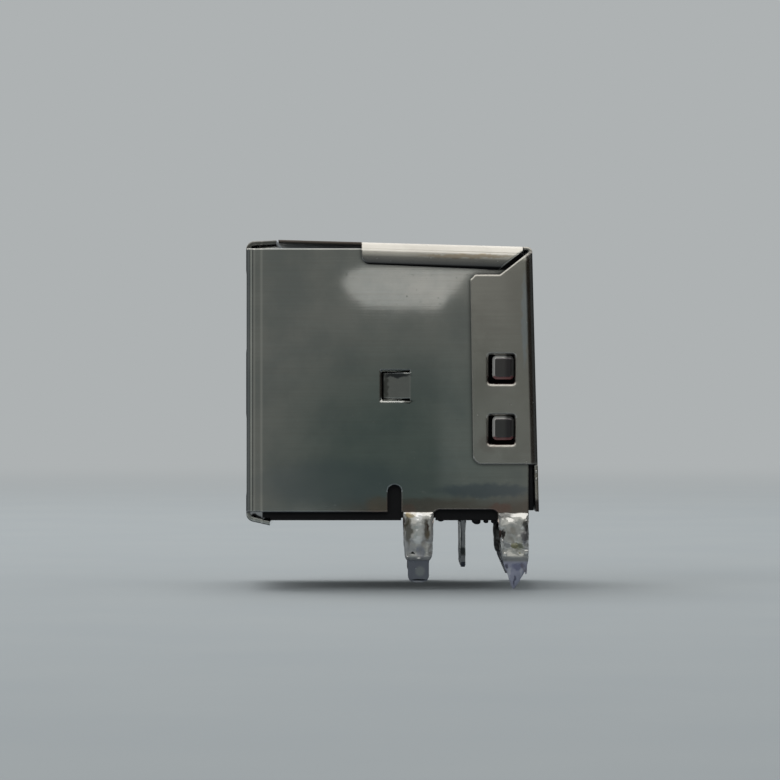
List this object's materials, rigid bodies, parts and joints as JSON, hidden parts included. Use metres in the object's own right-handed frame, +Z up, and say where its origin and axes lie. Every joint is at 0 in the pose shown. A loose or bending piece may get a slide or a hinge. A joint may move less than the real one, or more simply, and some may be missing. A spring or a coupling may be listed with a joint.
{
  "type": "usb connector",
  "caption": "Stacked right-angle board receptacle with a folded steel shell, a rear cover with side flaps, plastic tongues and solder on its legs.",
  "frame": {"origin": "on the board's face, midway between the two front shell legs", "axes": "+X across the ports to the side that the picture shows, +Y from the mouth to the rear, +Z up from the board"},
  "size_m": [0.0138, 0.0175, 0.0209],
  "materials": {
    "shell_steel": "cold-rolled steel, dull nickel plated, handled and stained by flux",
    "cover_steel": "cold-rolled steel, dull nickel plated, slightly warmer than the front shell",
    "insulator": "black glass-filled moulding",
    "contact_metal": "stamped copper alloy, thin gold over nickel at the crowns, tinned tails",
    "solder": "tin solder, bright where it flowed, stained brown and yellow by flux"
  },
  "bodies": {
    "root": {"front_shell": "shell_steel", "rear_shell": "cover_steel", "housing": "insulator", "tail_locator": "insulator", "lower_contact_1": "contact_metal", "lower_contact_2": "contact_metal", "lower_contact_3": "contact_metal", "lower_contact_4": "contact_metal", "upper_contact_1": "contact_metal", "upper_contact_2": "contact_metal", "upper_contact_3": "contact_metal", "upper_contact_4": "contact_metal", "leg_solder_front_left": "solder", "leg_solder_front_right": "solder", "leg_solder_rear_left": "solder", "leg_solder_rear_right": "solder", "lower_pin_solder_1": "solder", "lower_pin_solder_2": "solder", "lower_pin_solder_3": "solder", "lower_pin_solder_4": "solder", "upper_pin_solder_1": "solder", "upper_pin_solder_2": "solder", "upper_pin_solder_3": "solder", "upper_pin_solder_4": "solder"}
  },
  "joints": []
}
